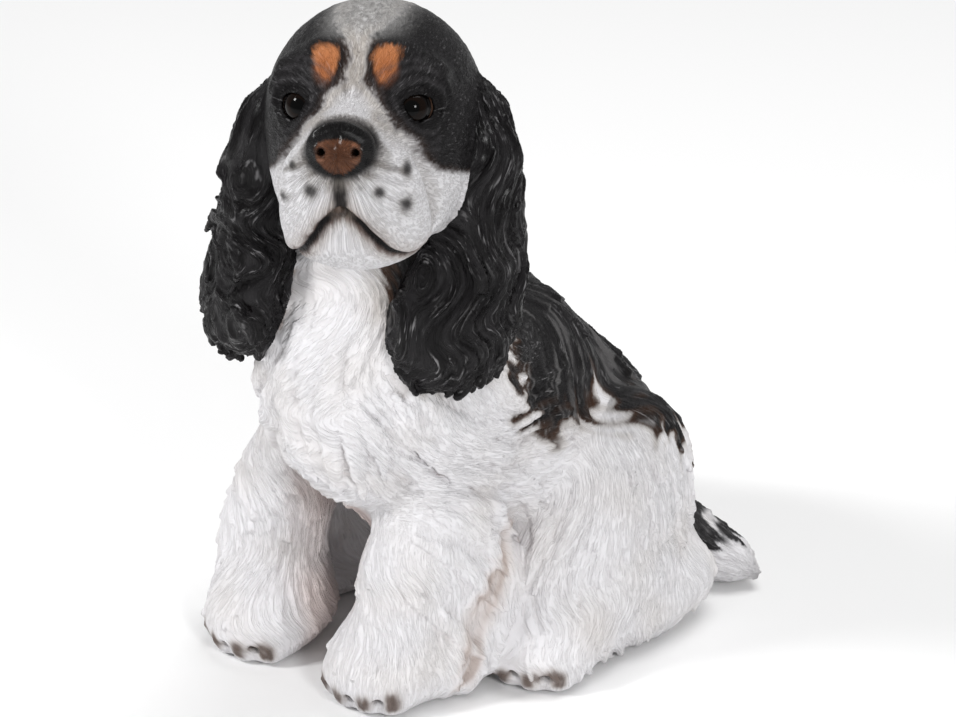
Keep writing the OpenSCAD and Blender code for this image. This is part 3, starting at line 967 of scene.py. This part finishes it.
    # Nose: black rim, brown leather, dark above, in a ring of painted shade.
    d = np.sqrt((x / 13.4) ** 2 + ((z + 8.6) / 10.4) ** 2)
    ahead = smoothstep(-62, -65.5, y)
    rim = (1 - smoothstep(0.95, 1.08, d)) * ahead
    pad = (side / np.interp(z, (-18, -13, -6), (4.6, 8.2, 9.6))) ** 2.6 + (np.abs(z + 11.2) / 6.6) ** 2.6
    leather = (1 - smoothstep(0.80, 1.10, pad)) * ahead
    # Painted shade round the nose: a soft grey ring, darker next to the rim.
    colour = layer(colour, CREAM * 0.42, (1 - smoothstep(0.95, 1.75, d + 0.04 * stipple)) * ahead * 0.7)
    colour = layer(colour, SMOKE * 2, (1 - smoothstep(1.0, 1.28, d + 0.03 * stipple)) * ahead * 0.8)
    colour = layer(colour, BLACK, rim)
    colour = layer(colour, LEATHER * (1 + 0.14 * noise(p, 2.0, 5.0))[:, None], leather)
    ring = np.linalg.norm((mirrored - np.array(NOSTRIL)) * (1, 0.2, 1), axis=1)
    wing = np.exp(-((ring - 3.0) / 0.8) ** 2) * (side > 5.6) * 0.6 * leather
    colour = layer(colour, LEATHER * (2.4, 2.8, 3.4), wing)
    colour = layer(colour, BLACK, spot(mirrored, np.array(NOSTRIL) + (0, 1, 0), np.array((1.7, 6, 1.8))) * 0.9)
    glossy = rim * 0.8
    dark = (1 - white) * (1 - rim)
    return colour, dark, glossy


def paint_body(points, strand, name):
    x, y, z = points.T
    swept = noise(sweep_strands(points), 5.0, 4.0)
    ragged = noise(strand, 5.0, 4.0)
    wobble = 5.5 * (ragged + (swept - ragged) * sweep(points)[2]) + 4.0 * noise(points, 22, 2.0)
    cream = 0.05 + 0.09 * noise(points, 30, 6.0)
    colour = layer(np.tile(WHITE, (len(points), 1)), CREAM, cream)
    # Painted shade along the crease in front of the thigh: a broad soft darkening, browner in the crease itself.
    fold = distance_to_path(points, smooth_path(CREASE, 8)) + 1.5 * noise(strand, 6.0, 3.0)
    colour = layer(colour, CREAM * (0.80, 0.66, 0.60), (1 - smoothstep(1, 10, fold)) * 0.35)
    colour = layer(colour, BROWN * (3.0, 3.6, 4.0), (1 - smoothstep(0.5, 4.5, fold)) * 0.4)
    # The saddle: over the back, down to a ragged edge, and up the back of the neck.
    lower = np.interp(y, (-20, 0, 20, 45, 70, 95, 125), (126, 114, 105, 102, 86, 66, 50))
    front = y - np.interp(z, (90, 115, 150, 185, 210), (0, -7, -9, -20, -24))
    front = front + 30 * smoothstep(150, 180, z) * smoothstep(8, -12, x)
    saddle = np.minimum(z - lower, front * 1.2) + wobble
    # Dark hair under the ears, beside the throat.
    beside = np.where(x > 15, x - np.interp(z, (150, 175, 200, 230), (46, 33, 27, 30)), -32 - x)
    neck = np.minimum(np.minimum(beside + 0.35 * wobble, z - 150 + 0.5 * wobble), y + 82)
    saddle = np.maximum(saddle, neck)
    colour = layer(colour, CREAM * 0.55, smoothstep(-9, 0, saddle) * 0.55)
    black = smoothstep(-1.5, 2.0, saddle)
    colour = layer(colour, BROWN * 0.6, black)
    deep = smoothstep(1.0, 8.0, saddle)
    tone = layer(np.tile(BLACK, (len(points), 1)), SMOKE, 0.45 + 0.4 * noise(strand, 3.0, 9.0))
    colour = layer(colour, tone, deep)
    # Grey strands in the saddle's middle and near its lower edge.
    tint = smoothstep(18, 4, saddle) * smoothstep(-0.4, 1.2, noise(points, 16, 9.0))
    colour = layer(colour, BROWN * 0.8, tint * deep * 0.6)
    pale = smoothstep(0.7, 1.9, noise(strand, 4.2, 13.0)) * (0.3 + 0.7 * smoothstep(14, 2, saddle))
    colour = layer(colour, np.array((0.33, 0.32, 0.32)), pale * deep * 0.8)
    dark = black
    # Belly and inside of the legs in shade colour.
    if name.startswith("fore") or name == "torso":
        inner = smoothstep(26, 10, np.abs(x + 12)) * smoothstep(98, 80, z)
        inner = inner * smoothstep(-62, -48, y) * smoothstep(50, 20, y)
        colour = layer(colour, PINK, inner * 0.75 * (1 - black))
    return colour, dark, np.zeros(len(points))


def paint_ear(points, strand):
    tone = layer(np.tile(BLACK, (len(points), 1)), SMOKE, 0.35 + 0.5 * noise(strand, 2.8, 9.0))
    return tone, np.ones(len(points)), np.full(len(points), 0.35)


def paint_tail(points, strand):
    x, y, z = points.T
    colour, dark, gloss = paint_body(points, strand, "tail")
    wobble = 4 * noise(strand, 4.0, 4.0)
    top = np.minimum(z - np.interp(x, (20, 50, 66, 80), (12, 20, 15, 30)), 72 - x) + wobble
    black = smoothstep(-1.5, 3.0, top)
    colour = layer(colour, SMOKE * 1.3, black)
    return colour, np.maximum(dark, black), gloss


def paint_paws(points, colour, white, stipple):
    for claw in CLAWS:
        near = np.linalg.norm(points - claw[1], axis=1) < 9
        d = distance_to_path(points[near], claw) + 0.35 * stipple[near]
        part = layer(colour[near], CREAM * (0.42, 0.38, 0.36), (1 - smoothstep(1.8, 5.4, d)) * 0.6 * white[near])
        colour[near] = layer(part, BROWN * 0.8, (1 - smoothstep(1.1, 3.5, d)) * 0.82)
    return colour


# ---------- The painted ware ----------

def tree(name):
    material = bpy.data.materials.new(name)
    material.use_nodes = True
    nodes, links = material.node_tree.nodes, material.node_tree.links
    return material, nodes, links, nodes["Principled BSDF"]


def new(nodes, kind, **settings):
    node = nodes.new(kind)
    for key, value in settings.items():
        setattr(node, key, value)
    return node


def graph(nodes, links):
    """Short forms for the nodes used most."""
    def attribute(name, output):
        node = new(nodes, "ShaderNodeAttribute", attribute_name=name)
        return node.outputs[output]

    def noise_of(vector, scale, detail=2.0, roughness=0.5):
        node = new(nodes, "ShaderNodeTexNoise")
        links.new(vector, node.inputs["Vector"])
        node.inputs["Scale"].default_value = scale
        node.inputs["Detail"].default_value = detail
        node.inputs["Roughness"].default_value = roughness
        return node.outputs["Fac"]

    def maths(operation, a, b=None, c=None):
        node = new(nodes, "ShaderNodeMath", operation=operation)
        for socket, value in zip(node.inputs, (a, b, c)):
            if value is None:
                continue
            if isinstance(value, (int, float)):
                socket.default_value = value
            else:
                links.new(value, socket)
        return node.outputs[0]

    def remap(value, low, high, to_low=0.0, to_high=1.0):
        node = new(nodes, "ShaderNodeMapRange", interpolation_type="SMOOTHSTEP")
        for key, entry in (("From Min", low), ("From Max", high), ("To Min", to_low), ("To Max", to_high)):
            node.inputs[key].default_value = entry
        links.new(value, node.inputs["Value"])
        return node.outputs["Result"]

    def blend(fac, a, b, kind="MIX"):
        node = new(nodes, "ShaderNodeMix", data_type="RGBA", blend_type=kind)
        for key, value in (("Factor_Float", fac), ("A_Color", a), ("B_Color", b)):
            socket = next(i for i in node.inputs if i.identifier == key)
            if isinstance(value, (int, float)):
                socket.default_value = value
            elif isinstance(value, tuple):
                socket.default_value = (*value, 1)
            else:
                links.new(value, socket)
        return next(o for o in node.outputs if o.identifier == "Result_Color")

    return attribute, noise_of, maths, remap, blend


def make_ware(name, fine_scale, bump, depth, shade_colour, highlight_amount, shine, coat_weight):
    """Painted cast ware: the vertex paint, with painted shade in the hair's grooves and hollows, and painted
    highlights on its raised strands.
    """
    material, nodes, links, shader = tree(name)
    attribute, noise_of, maths, remap, blend = graph(nodes, links)
    strand, swept = attribute("strand", "Vector"), attribute("swept", "Vector")
    share = attribute("share", "Fac")
    coat = attribute("coat", "Color")

    def hair_of(scale, detail, roughness):
        across, round_about = (noise_of(field, scale, detail, roughness) for field in (strand, swept))
        return maths("MULTIPLY_ADD", share, maths("SUBTRACT", round_about, across), across)

    dark, relief, gloss = (attribute(key, "Fac") for key in ("dark", "relief", "gloss"))
    hair = hair_of(fine_scale, 2.0, 0.55)
    broad = hair_of(fine_scale * 0.36, 2.0, 0.5)
    line, clump = remap(hair, 0.40, 0.56), remap(broad, 0.36, 0.56)
    # Painted shade: the coat is darkened in the fine hair grooves, between clumps and in hollows, and browner in the
    # deepest hollows.
    hollow = remap(relief, 0.52, 0.22)
    groove = maths("ADD", maths("MULTIPLY_ADD", line, -0.30, 0.30), maths("MULTIPLY_ADD", clump, -0.10, 0.10))
    groove = maths("ADD", groove, maths("MULTIPLY", hollow, 0.40))
    shaded_coat = blend(maths("MINIMUM", groove, 1.0), coat, shade_colour, "MULTIPLY")
    shaded_coat = blend(maths("MULTIPLY", remap(relief, 0.26, 0.0), 0.85), shaded_coat, (0.60, 0.49, 0.42), "MULTIPLY")
    # Painted highlight: light grey on the raised strands of the dark paint, standing in for their sheen.
    rise = maths("MULTIPLY", remap(hair, 0.57, 0.70), remap(relief, 0.44, 0.68))
    rise = maths("MULTIPLY", rise, remap(broad, 0.42, 0.62, 0.25, 1.0))
    highlit_coat = blend(maths("MULTIPLY", rise, highlight_amount), coat, (0.42, 0.41, 0.42))
    colour = blend(dark, shaded_coat, highlit_coat)
    links.new(colour, shader.inputs["Base Color"])
    wear = noise_of(strand, fine_scale * 0.6, 2.0, 0.5)
    rough = maths("SUBTRACT", remap(wear, 0.3, 0.7, 0.46, 0.58), maths("MULTIPLY", gloss, 0.3))
    rough = maths("SUBTRACT", rough, maths("MULTIPLY", dark, 0.10))
    links.new(rough, shader.inputs["Roughness"])
    links.new(maths("MULTIPLY_ADD", gloss, 0.25, coat_weight), shader.inputs["Coat Weight"])
    shader.inputs["Coat Roughness"].default_value = 0.22
    shader.inputs["Specular IOR Level"].default_value = shine
    wisp = hair_of(fine_scale * 2.3, 2.0, 0.5)
    relief_height = maths("ADD", maths("ADD", line, maths("MULTIPLY", clump, 0.7)), maths("MULTIPLY", wisp, 0.5))
    node = new(nodes, "ShaderNodeBump")
    node.inputs["Strength"].default_value = bump
    node.inputs["Distance"].default_value = depth * MM
    links.new(relief_height, node.inputs["Height"])
    links.new(node.outputs["Normal"], shader.inputs["Normal"])
    return material


WARES = {"white_ware": make_ware("white_ware", 1.35, 0.85, 0.36, (0.78, 0.76, 0.75), 0.40, 0.20, 0.02),
         "black_ware": make_ware("black_ware", 1.15, 0.9, 0.42, (0.72, 0.69, 0.67), 0.45, 0.07, 0.02),
         "head_ware": make_ware("head_ware", 1.3, 1.0, 0.30, (0.40, 0.38, 0.37), 0.17, 0.10, 0.02)}


def store(mesh, name, values, kind):
    data = mesh.attributes.new(name, kind, "POINT")
    key = {"FLOAT": "value", "FLOAT_VECTOR": "vector", "FLOAT_COLOR": "color"}[kind]
    data.data.foreach_set(key, np.ascontiguousarray(values, np.float32).ravel())


soft = blur(form, 2.2)
for name in CAST:
    points, quads = drop_crumbs(*cut_piece(name))
    piece = make_mesh("cast_" + name, points, quads)
    normal = normals_of(piece.data)
    shown = smoothstep(-1.6, -0.4, sample(form, points))
    strand = strands(points, name)
    fine = grain(points, normal, nearness(points), fine_heights, HAIR_DEPTH)
    relief = np.clip(0.5 + 0.42 * sample(soft, points) + 0.30 * fine, 0, 1)
    body_strand = strands(points, "torso")
    if name == "head":
        colour, dark, gloss = paint_head(points, strand)
    elif name.startswith("ear"):
        colour, dark, gloss = paint_ear(points, strand)
    elif name == "tail":
        colour, dark, gloss = paint_tail(points, strand)
    else:
        colour, dark, gloss = paint_body(points, body_strand, name)
        colour = paint_paws(points, colour, 1 - dark, noise(strand, 1.6, 4.0))
    points = points + normal * (fine * shown)[:, None]
    points = np.clip(points, LOW + 0.3, HIGH - 0.3)
    points[:, 2] = np.maximum(points[:, 2], PAD_HEIGHT)
    piece.data.vertices.foreach_set("co", (points * MM).astype(np.float32).ravel())
    store(piece.data, "strand", strand, "FLOAT_VECTOR")
    if name in ("torso", "foreleg_left"):
        store(piece.data, "swept", sweep_strands(points), "FLOAT_VECTOR")
        store(piece.data, "share", sweep(points)[2], "FLOAT")
    store(piece.data, "coat", np.c_[np.clip(colour, 0, 1), np.ones(len(points))], "FLOAT_COLOR")
    store(piece.data, "dark", dark, "FLOAT")
    store(piece.data, "relief", relief, "FLOAT")
    store(piece.data, "gloss", gloss, "FLOAT")
    piece.data.update()
    piece.data.materials.append(WARES[SLOTS[name]])
    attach(piece, "root")
    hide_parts(name)


# ---------- Glass eyes ----------

def make_glass():
    """Brown glass: a dark pupil, a streaked iris and a clear coat over them."""
    material, nodes, links, shader = tree("eye_glass")
    attribute, noise_of, maths, remap, blend = graph(nodes, links)
    out = attribute("iris", "Fac")
    streak = noise_of(attribute("strand", "Vector"), 0.9, 3.0, 0.6)
    iris = blend(streak, (0.0015, 0.001, 0.001), (0.009, 0.004, 0.002))
    colour = blend(remap(out, 0.34, 0.44), (0.001, 0.001, 0.001), iris)
    colour = blend(remap(out, 0.70, 0.86), colour, (0.002, 0.0015, 0.0015))
    colour = blend(remap(out, 1.15, 1.30), colour, (0.060, 0.034, 0.024))
    links.new(colour, shader.inputs["Base Color"])
    links.new(remap(streak, 0.3, 0.7, 0.05, 0.09), shader.inputs["Roughness"])
    shader.inputs["Specular IOR Level"].default_value = 0.13
    shader.inputs["IOR"].default_value = 1.45
    return material


GLASS = make_glass()


def make_eye(name, sign):
    centre = EYES[name]
    gaze = HEAD @ np.array((sign * math.sin(math.radians(10)), -math.cos(math.radians(10)), 0.02))
    gaze /= np.linalg.norm(gaze)
    side = np.cross(gaze, (0, 0, 1))
    side /= np.linalg.norm(side)
    top = np.cross(side, gaze)
    rings, around_count = 48, 96
    points, iris, strand = [centre + gaze * (EYE_RADIUS + 0.55)], [0.0], [(0, 0, 0)]
    for i in range(1, rings):
        a = math.pi * i / rings
        out = a / math.radians(50)
        bulge = 0.55 * max(0.0, 1 - out * out) - 0.12 * math.exp(-((out - 1) / 0.08) ** 2)
        for j in range(around_count):
            b = 2 * math.pi * j / around_count
            way = gaze * math.cos(a) + (side * math.cos(b) + top * math.sin(b)) * math.sin(a)
            points.append(centre + way * (EYE_RADIUS + bulge))
            iris.append(out)
            strand.append((9 * math.cos(b), 9 * math.sin(b), out * 1.5))
    points.append(centre - gaze * EYE_RADIUS)
    iris.append(3.6)
    strand.append((0, 0, 5))
    faces = [(0, 1 + j, 1 + (j + 1) % around_count) for j in range(around_count)]
    for i in range(rings - 2):
        r = 1 + i * around_count
        faces += [(r + j, r + around_count + j, r + around_count + (j + 1) % around_count, r + (j + 1) % around_count)
                  for j in range(around_count)]
    r = 1 + (rings - 2) * around_count
    faces += [(r + j, len(points) - 1, r + (j + 1) % around_count) for j in range(around_count)]
    mesh = bpy.data.meshes.new("glass_eye_" + name)
    mesh.from_pydata([tuple(p * MM) for p in points], [], faces)
    mesh.polygons.foreach_set("use_smooth", np.ones(len(faces), bool))
    store(mesh, "iris", iris, "FLOAT")
    store(mesh, "strand", strand, "FLOAT_VECTOR")
    mesh.materials.append(GLASS)
    obj = bpy.data.objects.new("glass_eye_" + name, mesh)
    bpy.context.scene.collection.objects.link(obj)
    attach(obj, "root")
    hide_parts("eye_" + name)


make_eye("left", 1)
make_eye("right", -1)


# ---------- Felt pads ----------

def make_felt():
    material, nodes, links, shader = tree("felt")
    attribute, noise_of, maths, remap, blend = graph(nodes, links)
    place = new(nodes, "ShaderNodeTexCoord").outputs["Object"]
    fibres = noise_of(place, 2600.0, 4.0, 0.7)
    links.new(blend(fibres, (0.012, 0.013, 0.012), (0.060, 0.062, 0.058)), shader.inputs["Base Color"])
    links.new(remap(fibres, 0.2, 0.8, 0.85, 1.0), shader.inputs["Roughness"])
    shader.inputs["Sheen Weight"].default_value = 0.4
    node = new(nodes, "ShaderNodeBump")
    node.inputs["Strength"].default_value = 0.8
    node.inputs["Distance"].default_value = 0.0003
    links.new(fibres, node.inputs["Height"])
    links.new(node.outputs["Normal"], shader.inputs["Normal"])
    return material


def make_pads():
    """Felt discs: soft edges, and a slightly uneven underside."""
    radius = 10.9
    points, faces = [], []
    profile = [(0.0, 0.06), (0.55, 0.0), (0.93, 0.04), (0.985, 0.25), (1.0, 0.75), (0.99, 1.25),
               (0.95, 1.45), (0.0, 1.48)]
    for cx, cy in PADS:
        start = len(points)
        sides = 72
        for k, (r, z) in enumerate(profile):
            for j in range(sides):
                a = 2 * math.pi * j / sides
                rr = radius * r * (1 + 0.006 * math.sin(9 * a + k))
                points.append((cx + rr * math.cos(a), cy + rr * math.sin(a), z))
        for k in range(len(profile) - 1):
            r = start + k * sides
            faces += [(r + j, r + (j + 1) % sides, r + sides + (j + 1) % sides, r + sides + j)
                      for j in range(sides)]
    mesh = bpy.data.meshes.new("pads")
    mesh.from_pydata([tuple(c * MM for c in p) for p in points], [], faces)
    mesh.polygons.foreach_set("use_smooth", np.ones(len(faces), bool))
    mesh.validate()
    mesh.materials.append(make_felt())
    obj = bpy.data.objects.new("pads", mesh)
    bpy.context.scene.collection.objects.link(obj)
    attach(obj, "root")
    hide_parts("felt_pads")


make_pads()


# ---------- Floor, light and camera ----------

low, high = (np.array(c) for c in CAD_BOX)
middle = (low + high) / 2


def make_floor():
    mesh = bpy.data.meshes.new("floor")
    r = 6.0
    mesh.from_pydata([(-r, -r, 0), (r, -r, 0), (r, r, 0), (-r, r, 0)], [], [(0, 1, 2, 3)])
    obj = bpy.data.objects.new("floor", mesh)
    bpy.context.scene.collection.objects.link(obj)
    material = bpy.data.materials.new("floor_paper")
    material.use_nodes = True
    shader = material.node_tree.nodes["Principled BSDF"]
    shader.inputs["Base Color"].default_value = (0.93, 0.93, 0.93, 1)
    shader.inputs["Roughness"].default_value = 0.9
    mesh.materials.append(material)


def make_light(name, place, size, watts, aim=(0, 0, 0.13)):
    light = bpy.data.lights.new(name, "AREA")
    light.shape = "RECTANGLE"
    light.size, light.size_y, light.energy = size[0], size[1], watts
    obj = bpy.data.objects.new(name, light)
    bpy.context.scene.collection.objects.link(obj)
    obj.location = place
    obj.rotation_euler = (Vector(aim) - Vector(place)).to_track_quat("-Z", "Y").to_euler()


make_floor()
make_light("key", (-0.75, -1.35, 1.35), (0.36, 0.36), 20)
make_light("fill", (1.6, -0.9, 1.0), (0.34, 0.34), 15)
make_light("top", (0.2, 0.5, 1.9), (1.2, 1.2), 18)
world = bpy.data.worlds.new("studio")
world.use_nodes = True
world.node_tree.nodes["Background"].inputs["Color"].default_value = (1, 1, 1, 1)
world.node_tree.nodes["Background"].inputs["Strength"].default_value = 0.37
bpy.context.scene.world = world
bpy.context.scene.view_settings.view_transform = "Standard"

CAMERA_AZIMUTH, CAMERA_ELEVATION, CAMERA_DISTANCE = 40, 25, 2.0
CAMERA_AIM = middle + np.array((0.0130, 0.0140, -0.0266))
VIEW_WIDTH = 0.390
azimuth, elevation = math.radians(CAMERA_AZIMUTH), math.radians(CAMERA_ELEVATION)
back = Vector((math.sin(azimuth) * math.cos(elevation), -math.cos(azimuth) * math.cos(elevation),
               math.sin(elevation)))
camera_data = bpy.data.cameras.new("camera")
camera_data.sensor_width = 36
camera_data.lens = 36 * CAMERA_DISTANCE / VIEW_WIDTH
camera = bpy.data.objects.new("camera", camera_data)
bpy.context.scene.collection.objects.link(camera)
camera.location = Vector(CAMERA_AIM) + back * CAMERA_DISTANCE
camera.rotation_euler = (-back).to_track_quat("-Z", "Y").to_euler()
bpy.context.scene.camera = camera
